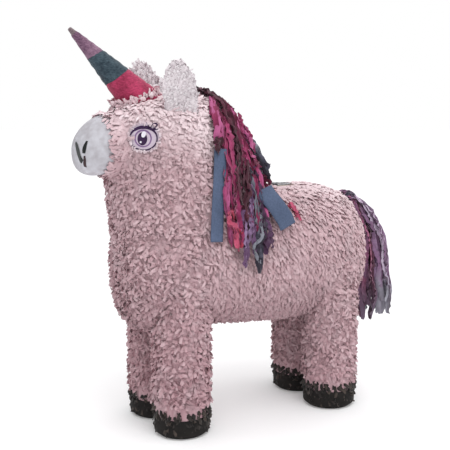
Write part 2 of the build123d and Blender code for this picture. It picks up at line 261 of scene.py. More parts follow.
PALE_PINK = tissue("pale_pink_tissue", "c4acb3", "d6c0c7", "e2d0d6", "eadee3")
BLACK_TISSUE = tissue("black_tissue", "0e0c0c", "1a1615", "2c2623", "483e38", rough=0.75)
BLACK_CARD = plain_paper("black_card", "0e0c0c", "221e1c")
PAPIER = plain_paper("papier_mache", "968c80", "beb5a8", 150, 0.4, 0.9, 60)
CARD = plain_paper("card_tube", "8a6e50", "a88a68", 320, 0.12, 0.85, 18)
PLAIN_CARD = plain_paper("plain_card", "beb6b4", "d4cecc", 300, 0.1, 0.85, 24)
LINING = plain_paper("ear_paper", "dad0d4", "ece4e8", 400, 0.3, 0.9, 90)
TAPE = plain_paper("tape_paper", "c4b082", "d6c49a", 500, 0.08, 0.55, 40)
WHITE = plain_paper("white_paper", "aca8ae", "ceced5", 120, 0.6, 0.85, 30)
EYE_CARD = plain_paper("eye_card", "baaaba", "cec0ce", 300, 0.05, 0.6, 60)
GLINT = plain_paper("eye_glint", "e2dee8", "f0eef4", 300, 0.02, 0.5, 60)
PRINT_BLACK = plain_paper("print_black", "101214", "222626", 300, 0.03, 0.45, 60)
PRINT_RED = plain_paper("print_red", "28141a", "402228", 300, 0.03, 0.45, 60)
PRINT_PLUM = plain_paper("print_plum", "22102e", "3e204c", 300, 0.03, 0.45, 60)
PRINT_LILAC = plain_paper("print_lilac", "70547c", "8a6c96", 300, 0.03, 0.55, 60)
EAR_TISSUE = tissue("ear_tissue", "ccc1c6", "d6ccd1", "e2dade", "ece6e9")
# Painted light: a paler copy of the pink for the brow and horn base, standing in for light on them and
# highlights near the horn base.
LIT_BROW_TISSUE = tissue("lit_brow_tissue", "d8bec4", "e6cdd3", "f2dde2", "f8e9ed")
MAGENTA = tissue("magenta_tissue", "54122e", "681c3c", "8e2c56", "a43a6a", "b65c8c")
BURGUNDY = tissue("burgundy_tissue", "2c121c", "421a28", "64263e", "883658")
PURPLE = tissue("purple_tissue", "321c30", "462842", "644466", "76547c", "967a9e")
GREY = tissue("grey_tissue", "2e2a36", "3e3846", "545262", "747682", "9c9ea8")
PLUM = tissue("plum_tissue", "361a26", "4a2634", "623446", "764e5e")
RED = tissue("red_tissue", "701a30", "922a42", "b03c54", "c65c7c")
RIBBON = plain_paper("teal_ribbon", "445068", "5c6a86", 420, 0.2, 0.75, 24)


def steel():
    paint = Paint("steel", 0.3, Metallic=1.0)
    scratch = paint.noise(700, 3, paint.scaled(1, 1, 0.12))
    paint.colour(paint.ramp(scratch, (0.3, rgb("96969a")), (0.7, rgb("c4c5c8"))))
    paint.rough(paint.ramp(paint.noise(90, 3), (0.3, 0.22), (0.7, 0.42)))
    return paint.bump(scratch, 0.03)


STEEL = steel()


def horn_paper(name, dark, light):
    """Crepe paper wound round the horn: fine slanting creases, paler on the ridges and darker in the
    creases.
    """
    paint = Paint(name, 0.75, Sheen_Weight=0.1)
    crease = paint.noise(260, 4, paint.scaled(1, 1, 2.4), 0.6)
    tone = paint.mix(0.5, crease, paint.noise(42, 3))
    paint.colour(paint.ramp(tone, (0.38, rgb(dark)), (0.62, rgb(light))))
    return paint.bump(crease, 0.5, 0.8)


HORN = {
    "crimson": horn_paper("crimson_paper", "7c1a3a", "be3e66"),
    "teal": horn_paper("teal_paper", "1a2a36", "485a64"),
    "mauve": horn_paper("mauve_paper", "563650", "96748a"),
}
GREY_PAPER = horn_paper("grey_paper", "605056", "8a7a7e")


# ---- reading the CAD nodes
def arrays(node):
    """Vertex places and triangles of a CAD node, in metres."""
    mesh = NODES[node].data
    mesh.calc_loop_triangles()
    places = np.empty(len(mesh.vertices) * 3)
    mesh.vertices.foreach_get("co", places)
    triangles = np.empty(len(mesh.loop_triangles) * 3, int)
    mesh.loop_triangles.foreach_get("vertices", triangles)
    return places.reshape(-1, 3), triangles.reshape(-1, 3)


def tree_of(*names):
    """One search tree over several CAD nodes."""
    all_places, all_triangles, start = [], [], 0
    for name in names:
        places, triangles = arrays(name)
        all_places.append(places)
        all_triangles.append(triangles + start)
        start += len(places)
    return BVHTree.FromPolygons(
        np.concatenate(all_places).tolist(), np.concatenate(all_triangles).tolist()
    )


def triangle_corners(node):
    places, triangles = arrays(node)
    return (places[triangles[:, k]] for k in range(3))


def scatter(node, count, seed):
    """Points spread evenly over a node's surface, with their normals."""
    rng = np.random.default_rng(seed)
    a, b, c = triangle_corners(node)
    normals = np.cross(b - a, c - a)
    size = np.linalg.norm(normals, axis=1)
    pick = rng.choice(len(size), count, p=size / size.sum())
    u, v = rng.random(count), rng.random(count)
    over = u + v > 1
    u[over], v[over] = 1 - u[over], 1 - v[over]
    points = a[pick] + u[:, None] * (b - a)[pick] + v[:, None] * (c - a)[pick]
    return points, normals[pick] / size[pick, None]


def area_of(node):
    a, b, c = triangle_corners(node)
    return np.linalg.norm(np.cross(b - a, c - a), axis=1).sum() / 2


def slices(points, count):
    """Middle and mean half width of level slices through the points, from the top down."""
    edges = np.linspace(points[:, 2].max(), points[:, 2].min(), count + 1)
    rows = []
    for top, bottom in zip(edges, edges[1:]):
        part = points[(points[:, 2] <= top) & (points[:, 2] >= bottom)]
        middle = (part.min(0) + part.max(0)) / 2
        rows.append((middle, (part[:, :2].max(0) - part[:, :2].min(0)).mean() / 2))
    return rows


def thin_out(points, gap):
    """Indices of points that keep at least gap apart."""
    cells, kept = {}, []
    keys = np.floor(points / gap).astype(int)
    steps = [(i, j, k) for i in (-1, 0, 1) for j in (-1, 0, 1) for k in (-1, 0, 1)]
    for index, (x, y, z) in enumerate(keys.tolist()):
        near = (other for i, j, k in steps for other in cells.get((x + i, y + j, z + k), ()))
        if all((d := points[other] - points[index]) @ d >= gap * gap for other in near):
            cells.setdefault((x, y, z), []).append(index)
            kept.append(index)
    return np.array(kept)


def unit(rows):
    return rows / np.maximum(np.linalg.norm(rows, axis=-1, keepdims=True), 1e-9)


def quads(index):
    """The four-sided faces of a grid of vertex numbers."""
    return np.stack([index[:-1, :-1], index[:-1, 1:], index[1:, 1:], index[1:, :-1]], -1).reshape(-1, 4)


def add_object(name, data):
    item = bpy.data.objects.new(name, data)
    bpy.context.scene.collection.objects.link(item)
    return item


def settle(piece, nodes=(), body=ROOT):
    """Ride on a body, and stand for CAD nodes, which it hides."""
    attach(piece, body)
    if nodes:
        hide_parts(*nodes)


def make_mesh(name, places, faces, material, tab=None, smooth=True):
    """New object from arrays, with the colour attribute that its material reads."""
    mesh = bpy.data.meshes.new(name)
    faces = faces.tolist() if isinstance(faces, np.ndarray) else faces
    mesh.from_pydata(np.asarray(places).tolist(), [], faces)
    if tab is not None:
        layer = mesh.color_attributes.new(name="tab", type="FLOAT_COLOR", domain="POINT")
        layer.data.foreach_set("color", np.asarray(tab, np.float32).ravel())
    if smooth:
        mesh.polygons.foreach_set("use_smooth", np.ones(len(mesh.polygons), bool))
    mesh.materials.append(material.material)
    mesh.update()
    return add_object(name, mesh)


# ---- tissue tabs
SHELL = tree_of("torso_shell", "neck_shell", "head_shell", "fill_flap")
TUBES = tree_of(*(f"leg_tube_{c}" for c in CORNERS))
HARD = tree_of(
    "horn_wrap_crimson", "horn_wrap_teal", "ear_left_card", "ear_right_card", "muzzle_cover",
    "hanger_ring", "hanger_plate", "hanger_rivets", "eye_left", "eye_right",
)
EYES = tree_of("eye_left", "eye_right", "horn_wrap_crimson")
FACE = tree_of("eye_left", "eye_right", "horn_wrap_crimson", "muzzle_cover", "hanger_plate")
SEGMENTS, ACROSS = 4, 3
WRAP = 2.6           # how far the base wrap may stand off its shell, in mm
OVER_EDGE = 1.5      # how far a tab may stand above its own greatest height, in mm


def style(length, width, lift, bend, yaw, twist, high, low=0.3):
    """How tabs look: ranges in mm and degrees, and the heights they keep between."""
    return {
        "length": length, "width": width, "lift": lift, "bend": bend,
        "yaw": yaw, "twist": twist, "high": high, "low": low,
    }


def grow_tabs(base, normal, down, rng, look):
    """Tabs of cut tissue as an array of (tab, along, across, xyz), with their shading.

    base sits just above the carrier, down is the way a tab hangs, and look is a style.
    """
    count = len(base)

    def draw(key, shape=count):
        low, high = look[key]
        return rng.uniform(low, high, shape)

    length, width = draw("length") * MM, draw("width") * MM
    lift, bend = np.radians(draw("lift")), np.radians(draw("bend"))
    yaw, twist = np.radians(draw("yaw")), np.radians(draw("twist"))
    high, low = look["high"] * MM, look["low"] * MM
    side = unit(np.cross(normal, down))
    ahead = np.cos(yaw)[:, None] * down + np.sin(yaw)[:, None] * side
    side = np.cross(normal, ahead)
    steps = np.linspace(0, 1, SEGMENTS + 1)
    x, h = np.zeros((count, SEGMENTS + 1)), np.zeros((count, SEGMENTS + 1))
    for k in range(1, SEGMENTS + 1):
        angle = lift + bend * (steps[k] + steps[k - 1]) / 2
        x[:, k] = x[:, k - 1] + np.cos(angle) * length / SEGMENTS
        h[:, k] = h[:, k - 1] + np.sin(angle) * length / SEGMENTS
    room = high - low
    h = low + np.where(h > 0, room * np.tanh(h / room), 0.35 * h)
    h = np.maximum(h + rng.normal(0, 0.4 * MM, h.shape) * steps, 0.8 * low)
    h[:, 0] = low - 1.2 * MM
    middle = (
        base[:, None, :] + x[..., None] * ahead[:, None, :] + h[..., None] * normal[:, None, :]
    )
    along = unit(np.gradient(middle, axis=1))
    across = unit(np.cross(np.broadcast_to(normal[:, None, :], along.shape), along))
    up = np.cross(along, across)
    turn = (twist[:, None] * steps)[..., None]
    across = np.cos(turn) * across + np.sin(turn) * up
    up = np.cross(along, across)
    taper = 1 - 0.3 * steps ** 3
    fold = rng.uniform(-0.45, 0.45, count)
    tabs = np.empty((count, SEGMENTS + 1, ACROSS, 3))
    for j, share in enumerate((-0.5, 0.0, 0.5)):
        offset = (share * width[:, None] * taper)[..., None] * across
        gutter = ((0.5 - abs(share)) * 2 * fold * width)[:, None, None] * up
        tabs[:, :, j] = middle + offset + gutter
    tabs += rng.normal(0, 0.45 * MM, tabs.shape) * steps[None, :, None, None]
    shade = np.empty((count, SEGMENTS + 1, ACROSS, 4))
    shade[..., 0] = steps[None, :, None]
    shade[..., 1] = rng.random(count)[:, None, None]
    # Height share: low near the carrier, where the tissue material puts its painted shade between tabs.
    shade[..., 2] = (np.clip(h / high, 0, 1) * 0.6 + 0.4 * steps)[..., None]
    shade[..., 3] = 1
    return tabs, shade


def tabs_mesh(name, tabs, shade, material):
    size = (SEGMENTS + 1) * ACROSS
    one = quads(np.arange(size).reshape(SEGMENTS + 1, ACROSS))
    faces = (one[None] + (np.arange(len(tabs)) * size)[:, None, None]).reshape(-1, 4)
    return make_mesh(name, tabs.reshape(-1, 3), faces, material, shade.reshape(-1, 4))


def clear_of(tabs, tree, reach=0.6 * MM):
    """Which tabs keep out of the solid pieces in tree."""
    clear = np.ones(len(tabs), bool)
    centre = tabs[:, :, 1]
    for i, line in enumerate(centre.tolist()):
        for a, b in zip(line, line[1:]):
            a, b = Vector(a), Vector(b)
            step = b - a
            if tree.find_nearest(b, 12 * MM)[0] is None:
                continue
            if tree.ray_cast(a, step, step.length + reach)[0] is not None:
                clear[i] = False
                break
    return clear


def apart_from(tabs, tree, least):
    """Which tabs stay at least this far from the pieces in tree."""
    return np.array([
        all(tree.find_nearest(Vector(p), least)[0] is None for p in line)
        for line in tabs[:, 1:, 1].tolist()
    ])


def held_near(tabs, tree, most):
    """Pull tabs in where they stand further off the carrier than most, over its edges."""
    for tab in tabs:
        for row in tab:
            middle = Vector(row[1])
            spot, _, _, away = tree.find_nearest(middle)
            if away > most:
                row += np.array((spot - middle) * (1 - (most + 0.25 * (away - most)) / away))


def under_layer(node, carriers, body, material=PINK):
    """Base wrap of tissue: the fringe node pulled in close to the shell it covers."""
    places, triangles = arrays(node)
    rng = np.random.default_rng(len(places))
    pulled = []
    for p in places.tolist():
        spot, _, _, away = carriers.find_nearest(Vector(p))
        pulled.append(tuple(spot + (Vector(p) - spot) * min(0.5, WRAP * MM / max(away, 1e-6))))
    # Middling height share: the under layer is partly in the painted shade between tabs.
    tab = np.tile((0.0, 0.0, 0.4, 1.0), (len(places), 1))
    tab[:, 1] = rng.random(len(places))
    settle(make_mesh(f"under_{node}", pulled, triangles, material, tab), [node], body)


def tissue_skin(
    name, carriers, node, spacing, seed, look, material, body=ROOT,
    where=None, hang=(0, 0.22, -1), least=1.7, square=0.75,
):
    """Cover the outside of a fringe node with tabs, which grow from the carrier below it.

    A tab grows where the node's skin is at least least mm out and faces away from the carrier,
    by the share square, and where says so. look may name a tree of solid pieces to keep out
    of, and how many mm to stay apart from the eyes.
    """
    rng = np.random.default_rng(seed)
    points, normals = scatter(node, int(area_of(node) / (spacing * MM) ** 2 * 1.9), seed)
    keep, base = [], []
    for i, (p, n) in enumerate(zip(points.tolist(), normals.tolist())):
        spot, _, _, away = carriers.find_nearest(Vector(p))
        if away > least * MM and (Vector(p) - spot).dot(Vector(n)) > square * away:
            keep.append(i)
            base.append(spot)
    keep, base = np.array(keep), np.array([tuple(b) for b in base])
    normals = normals[keep]
    if where is not None:
        inside = where(base)
        base, normals = base[inside], normals[inside]
    chosen = thin_out(base, spacing * MM)
    base, normals = base[chosen], normals[chosen]
    wish = np.zeros_like(base) + hang
    down = unit(wish - (wish * normals).sum(1)[:, None] * normals)
    tabs, shade = grow_tabs(base + normals * 0.8 * MM, normals, down, rng, look)
    held_near(tabs, carriers, (look["high"] + OVER_EDGE) * MM)
    clear = clear_of(tabs, look.get("solid", HARD))
    if "apart" in look:
        clear &= apart_from(tabs, EYES, look["apart"] * MM)
    tabs, shade = tabs[clear], shade[clear]
    settle(tabs_mesh(name, tabs, shade, material), body=body)


FLUFFY = style((8, 13), (3.4, 5.8), (12, 60), (-150, 50), (-80, 80), (-80, 80), 7.6, 2.2)
COMBED = style((8, 14), (2.8, 4.8), (10, 40), (-80, 25), (-34, 34), (-50, 50), 6.8, 2.2)
FLAT = style((8, 13), (3.8, 6.2), (3, 15), (-25, 8), (-60, 60), (-24, 24), 4.4, 2.2)
SHORT = style((7, 11), (3.4, 5.6), (10, 45), (-100, 20), (-70, 70), (-50, 50), 6.4, 2.2)

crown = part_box("torso_shell")[1].z
muzzle_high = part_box("muzzle_cover")[1]
split, crown_line = muzzle_high.y, muzzle_high.z
CHEST, HIP = -0.105, 0.04                   # the chest ends and the rump starts here, along y
SHOULDER_DROP, BACK_DROP = 0.03, 0.012      # the flat fringe of the back comes down this far
CUFF, HOOF_EDGE, SOLE_EDGE = 0.041, 0.046, 0.012

for part, spacing, seed, look, where in (
    ("chest", 2.95, 11, FLUFFY, lambda p: (p[:, 1] < CHEST) & (p[:, 2] < crown - SHOULDER_DROP)),
    ("flank", 2.9, 12, COMBED,
     lambda p: (p[:, 1] >= CHEST) & (p[:, 1] < HIP) & (p[:, 2] < crown - BACK_DROP)),
    ("rump", 2.9, 13, COMBED, lambda p: (p[:, 1] >= HIP) & (p[:, 2] < crown - BACK_DROP)),
    ("back", 3.3, 14, FLAT,
     lambda p: p[:, 2] >= crown - np.where(p[:, 1] < CHEST, SHOULDER_DROP, BACK_DROP)),
):
    tissue_skin(
        f"tissue_{part}", SHELL, "torso_fringe", spacing, seed, look, BELLY_SHADED_PINK, where=where
    )
under_layer("torso_fringe", SHELL, ROOT, BELLY_SHADED_PINK)
under_layer("neck_fringe", SHELL, ROOT)
under_layer("head_fringe", SHELL, ROOT)
under_layer("fill_flap_fringe", SHELL, "flap", BELLY_SHADED_PINK)
tissue_skin("tissue_neck", SHELL, "neck_fringe", 2.95, 21, FLUFFY, PINK)
tissue_skin(
    "tissue_head", SHELL, "head_fringe", 2.7, 22, {**SHORT, "solid": FACE, "apart": 1.8}, PINK,
    hang=(0, 0.8, -1), least=1.0, square=0.5, where=lambda p: p[:, 1] > split + 0.014,
)
tissue_skin(
    "tissue_muzzle_edge", SHELL, "head_fringe", 3.2, 24,
    {**style((9, 14), (4.0, 6.2), (10, 36), (-60, 10), (-50, 50), (-40, 40), 5.0, 2.2), "solid": EYES},
    PINK, hang=(0, -1, -0.25), least=0.9, where=lambda p: p[:, 1] <= split + 0.022,
)
tissue_skin(
    "tissue_brow", SHELL, "head_fringe", 3.2, 25,
    {**style((8, 14), (3.6, 5.6), (12, 46), (-70, 10), (-60, 60), (-40, 40), 8.0, 2.2),
     "solid": EYES, "apart": 1.8},
    LIT_BROW_TISSUE, hang=(0, -1, 0.2), least=1.0,
    where=lambda p: (p[:, 1] < split + 0.04) & (p[:, 2] > crown_line - 0.004),
)
tissue_skin("tissue_flap", SHELL, "fill_flap_fringe", 3.1, 23, COMBED, BELLY_SHADED_PINK, "flap")
for number, corner in enumerate(CORNERS):
    tissue_skin(
        f"tissue_leg_{corner}", TUBES, f"leg_fringe_{corner}", 2.95, 31 + number, FLUFFY, PINK,
        where=lambda p: p[:, 2] > HOOF_EDGE,
    )
    under_layer(f"leg_fringe_{corner}", TUBES, ROOT)
    tissue_skin(
        f"tissue_hoof_{corner}", TUBES, f"hoof_paper_{corner}", 3.0, 41 + number,
        style((7, 11), (4.0, 6.4), (8, 45), (-80, 10), (-40, 40), (-40, 40), 5.0),
        BLACK_TISSUE, where=lambda p: p[:, 2] > SOLE_EDGE,
    )
    tissue_skin(
        f"tissue_cuff_{corner}", TUBES, f"leg_fringe_{corner}", 3.2, 45 + number,
        style((8, 13), (4.0, 6.4), (25, 60), (-90, 0), (-50, 50), (-50, 50), 7.5),
        BLACK_TISSUE, where=lambda p: p[:, 2] < CUFF,
    )


# ---- strips of tissue
def smooth_line(points, count):
    """Catmull-Rom line through the points."""
    p = np.asarray(points, float)
    p = np.vstack([2 * p[0] - p[1], p, 2 * p[-1] - p[-2]])
    spans = len(p) - 3
    t = np.linspace(0, spans, count)
    k = np.minimum(t.astype(int), spans - 1)
    u = (t - k)[:, None]
    a, b, c, d = p[k], p[k + 1], p[k + 2], p[k + 3]
    return 0.5 * (
        2 * b + (c - a) * u + (2 * a - 5 * b + 4 * c - d) * u ** 2 + (3 * b - a - 3 * c + d) * u ** 3
    )


class Bundle:
    """Many thin strips gathered in one mesh."""

    def __init__(self):
        self.places, self.faces, self.tab, self.start = [], [], [], 0

    def strip(self, line, out, width, rng, crinkle, turn, fold, shade=None):
        """line (n, 3) is the middle, out (n, 3) points away from the body, width in metres."""
        across = 5
        count = len(line)
        along = unit(np.gradient(line, axis=0))
        side = unit(np.cross(along, out))
        up = np.cross(side, along)
        steps = np.linspace(0, 1, count)
        angle = turn * (steps - 0.3)[:, None]
        side, up = (
            np.cos(angle) * side + np.sin(angle) * up, np.cos(angle) * up - np.sin(angle) * side
        )
        taper = np.clip(np.minimum(steps * 9 + 0.45, (1 - steps) * 14 + 0.5), 0, 1)
        waves = rng.uniform(0, WAVE, 4)
        pitch = rng.uniform(9, 17, 2)
        length = np.linalg.norm(np.diff(line, axis=0), axis=1).sum()
        grid = np.empty((count, across, 3))
        for j in range(across):
            share = j / (across - 1) - 0.5
            edge = abs(share) * 2
            ripple = np.sin(steps * length / MM / pitch[0] * WAVE + waves[0] + share * 2.2)
            flutter = np.sin(steps * length / MM / pitch[1] * WAVE + waves[1] + share * 9)
            lift = (0.7 * ripple + edge * flutter) * crinkle * MM + fold * width * (0.5 - edge)
            grid[:, j] = line + (share * width * taper)[:, None] * side + lift[:, None] * up
        grid += rng.normal(0, 0.16 * MM, grid.shape)
        own = rng.random() if shade is None else shade
        tab = np.empty((count, across, 4))
        tab[..., 0], tab[..., 1], tab[..., 3] = steps[:, None], own, 1
        # Height share that rises and falls along the strip: painted shade in bands along it.
        tab[..., 2] = np.clip(0.45 + 0.5 * np.sin(steps * 11 + waves[2])[:, None] * 0.5 + 0.3 * own, 0, 1)
        corner = np.arange(count * across).reshape(count, across) + self.start
        self.faces.append(quads(corner))
        self.places.append(grid.reshape(-1, 3))
        self.tab.append(tab.reshape(-1, 4))
        self.start += count * across

    def make(self, name, material, nodes):
        places, faces, tab = map(np.concatenate, (self.places, self.faces, self.tab))
        settle(make_mesh(name, places, faces, material, tab), nodes)


BODY_SKIN = tree_of("torso_fringe", "neck_fringe", "head_fringe")


def flank(y, z, side=1):
    """How far out the fringe reaches at this height and place along the body, in metres."""
    hit = BODY_SKIN.ray_cast(Vector((0.3 * side, y, z)), Vector((-side, 0, 0)))[0]
    return abs(hit.x) if hit is not None and hit.x * side > 0 else 0.0


def mane_line(course, shift, off, side, rng):
    """A strip's course (y, z) in millimetres, laid over the flank with a little play."""
    points = []
    last = len(course) - 1
    for k, (y, z) in enumerate(course):
        y = (y + shift + rng.normal(0, 2.2)) * MM
        z = (z + rng.normal(0, 2.5) + (rng.uniform(-14, 10) if k == last else 0)) * MM
        points.append((side * (flank(y, z, side) + (off + rng.normal(0, 1.0)) * MM), y, z))
    line = smooth_line(points, 40)
    steps = np.linspace(0, 1, len(line))
    length = np.linalg.norm(np.diff(line, axis=0), axis=1).sum() / MM
    swing = np.sin(steps * length / rng.uniform(34, 70) * WAVE + rng.uniform(0, WAVE))
    line[:, 1] += swing * rng.uniform(0.8, 2.8) * MM * np.minimum(steps * 3, 1)
    line[:, 0] += side * np.cos(steps * length / rng.uniform(25, 60) * WAVE) * 1.2 * MM
    return line


def mane(name, material, nodes, courses, side=1, seed=0):
    """Each course is (points, how many strips, spread, offset off the fringe, width, shades)."""
    rng = np.random.default_rng(seed)
    bundle = Bundle()
    for course, count, spread, off, width, *shades in courses:
        for k in range(count):
            shift = ((k + 0.5) / count - 0.5) * 2 * spread + rng.normal(0, 1.4)
            line = mane_line(course, shift, off + rng.uniform(-3, 3.5), side, rng)
            out = np.zeros_like(line) + (side, rng.uniform(-0.5, 0.5), 0.15)
            bundle.strip(
                line, out, rng.uniform(0.65, 1.15) * width * MM, rng,
                crinkle=rng.uniform(0.9, 2.0), turn=rng.uniform(-2.6, 2.6), fold=rng.uniform(-0.3, 0.4),
                shade=rng.uniform(*shades[0]) if shades else None,
            )
    bundle.make(name, material, nodes)


mane(
    "mane_strips_front", MAGENTA, ["mane_magenta_front"],
    [([(-70, 462), (-78, 444), (-76, 422), (-73, 396), (-70, 368), (-71, 338), (-69, 304), (-67, 276)],
      7, 4, 6, 8),
     ([(-60, 448), (-64, 420), (-63, 384), (-61, 345), (-60, 308), (-60, 274)], 8, 6, 8, 8)],
    seed=51,
)
mane(
    "mane_strips_burgundy", BURGUNDY, ["mane_burgundy"],
    [([(-50, 462), (-50, 440), (-42, 410), (-43, 378), (-41, 346), (-42, 314), (-44, 280)], 9, 8, 5, 8),
     ([(-74, 472), (-67, 465), (-62, 450), (-60, 436), (-50, 412), (-53, 386), (-54, 362), (-50, 332)],
      5, 2.5, 12, 6, (0.0, 0.25)),
     ([(-38, 380), (-41, 350), (-44, 322), (-45, 292)], 3, 3, 13, 6, (0.0, 0.3)),
     ([(-14, 374), (0, 366), (12, 358), (22, 351)], 4, 4, 18, 9, (0.5, 0.9)),
     ([(-90, 410), (-85, 403), (-81, 393)], 5, 4, 8, 8, (0.0, 0.1))],
    seed=52,
)
mane(
    "mane_strips_rear", MAGENTA, ["mane_magenta_rear"],
    [([(-42, 452), (-38, 434), (-29, 408), (-25, 380), (-25, 352), (-31, 318), (-35, 292)], 9, 8, 9, 8),
     ([(-26, 440), (-14, 422), (-6, 400), (-6, 372), (-9, 345), (-16, 314)], 8, 7, 10, 8),
     ([(-12, 422), (-2, 406), (2, 388), (6, 366), (8, 346)], 7, 7, 9, 9),
     ([(-24, 386), (-8, 374), (6, 364), (18, 356)], 4, 4, 15, 10)],
    seed=53,
)
mane(
    "mane_strips_purple", PURPLE, ["mane_purple"],
    [([(-32, 342), (-35, 317), (-39, 295), (-39, 270)], 4, 4.5, 12, 7),
     ([(-48, 312), (-50, 296), (-51, 276), (-52, 260), (-51, 246)], 3, 3, 11, 7),
     ([(-16, 366), (-13, 338), (-13, 306), (-15, 283), (-17, 262)], 5, 4, 10, 8, (0.0, 0.35))],
    seed=54,
)
mane(
    "mane_strips_grey", GREY, ["mane_withers"],
    [([(-31, 366), (-30, 350), (-30, 326), (-30, 300), (-33, 284)], 2, 1, 13, 4, (0.4, 0.6)),
     ([(-20, 320), (-18, 300), (-25, 280), (-35, 262), (-32, 236)], 4, 3.5, 12, 8),
     ([(0, 408), (10, 394), (23, 376), (34, 359)], 4, 4, 6, 8)],
    seed=55,
)
mane(
    "mane_strips_red", RED, [],
    [([(-72, 314), (-71, 302), (-69, 292), (-64, 280), (-61, 268)], 4, 3.5, 11, 7),
     ([(38, 314), (43, 309), (45, 303), (42, 298)], 3, 1.5, 2, 5, (0.7, 1.0))],
    seed=59,
)


CREST = (
    (-80, 478), (-70, 475), (-58, 469), (-45, 463), (-33, 454), (-26, 440), (-12, 422), (1, 404),
    (16, 386), (29, 368), (41, 350),
)


def crest(name, material, nodes, first, last, count, seed):
    """Strips over the CAD strip down the middle of the neck, between two points of CREST."""
    rng = np.random.default_rng(seed)
    bundle = Bundle()
    course = CREST[first:last]
    for k in range(count):
        x = rng.uniform(-10, 24)
        stop = len(course) - rng.integers(0, 2)
        line = []
        for n, (y, z) in enumerate(course[:stop]):
            aside = x * min(1, 0.55 + 0.12 * (n + first))
            line.append((aside + rng.normal(0, 1), y - 0.5 * max(aside, 0) + rng.normal(0, 1.2),
                         z - 0.3 * abs(aside) + rng.normal(0, 1.5)))
        line = smooth_line(np.array(line) * MM, 8 * len(course))
        out = np.zeros_like(line) + (rng.uniform(-0.2, 0.7), 0.7, 0.7)
        bundle.strip(
            line, out, rng.uniform(7, 10) * MM, rng, crinkle=rng.uniform(0.8, 1.4),
            turn=rng.uniform(-1.2, 1.2), fold=rng.uniform(-0.3, 0.2),
        )
    bundle.make(name, material, nodes)


crest("mane_strips_crest", PLUM, ["mane_crest_strip"], 0, 7, 15, 58)
crest("mane_strips_crest_magenta", MAGENTA, [], 4, 9, 10, 60)
crest("mane_strips_crest_grey", GREY, [], 6, 11, 10, 61)
mane(
    "mane_strips_far_magenta", MAGENTA, ["mane_far_magenta"],
    [([(-48, 448), (-54, 410), (-54, 370), (-53, 330), (-54, 285)], 9, 10, 7, 8)],
    side=-1, seed=56,
)
mane(
    "mane_strips_far_burgundy", BURGUNDY, ["mane_far_burgundy"],
    [([(-26, 436), (-24, 398), (-25, 365), (-27, 330), (-29, 300)], 8, 11, 7, 8),
     ([(0, 405), (10, 385), (20, 360), (26, 342)], 7, 10, 6, 8)],
    side=-1, seed=57,
)


def tail_lock(name, node, material, count, seed, curl):
    """Strips that come over the tail's root and hang inside one lock's CAD node."""
    rng = np.random.default_rng(seed)
    bundle = Bundle()
    rows = slices(scatter(node, 5000, 5)[0], 9)
    root_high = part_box("tail_root")[1]
    for k in range(count):
        angle = ROUND * (k + rng.random()) / count
        reach = rng.uniform(0.3, 1.05)
        stop = rng.integers(8, 10)
        line = []
        for middle, radius in rows[:stop]:
            spread = reach * radius
            line.append(
                (middle[0] + math.cos(angle) * spread + rng.normal(0, 1.2) * MM,
                 middle[1] + math.sin(angle) * spread + rng.normal(0, 1.2) * MM, middle[2])
            )
        x = math.cos(angle) * 9 * MM
        over = (x, root_high.y - 1 * MM, root_high.z + rng.uniform(-9, -3) * MM)
        start = (x, root_high.y - 17 * MM, root_high.z + rng.uniform(-4, 0) * MM)
        line = smooth_line([start, over] + line, 48)
        steps = np.linspace(0, 1, len(line))
        for axis, most in ((0, 2.4), (1, 2.6)):
            swing = np.sin(steps * rng.uniform(14, 26) + rng.uniform(0, WAVE))
            line[:, axis] += swing * rng.uniform(0.8, most) * MM * np.minimum(steps * 2.5, 1)
        facing = angle + rng.uniform(-1.1, 1.1)
        out = np.zeros_like(line) + (math.cos(facing), math.sin(facing) + 0.3, 0.05)
        bundle.strip(
            line, out, rng.uniform(6, 9.5) * MM, rng, crinkle=rng.uniform(0.9, 2.0),
            turn=rng.uniform(-curl, curl), fold=rng.uniform(-0.3, 0.3),
        )
    bundle.make(name, material, [node])


TAIL_DARK = tissue(
    "tail_dark_tissue",
    "381d2a", "563042", "764860", "92688a", "ba5476",
    ends="685a6e",
)
TAIL_PURPLE = tissue(
    "tail_purple_tissue",
    "40283e", "62405e", "866284", "a282a4", "c4b4c8",
    ends="a4a6b0",
)
tail_lock("tail_strips_burgundy", "tail_burgundy", TAIL_DARK, 14, 61, 2.4)
tail_lock("tail_strips_purple", "tail_purple", TAIL_DARK, 15, 62, 2.4)
tail_lock("tail_strips_mauve", "tail_mauve", TAIL_PURPLE, 19, 63, 2.6)
tail_lock("tail_strips_grey", "tail_grey", GREY, 17, 64, 2.6)


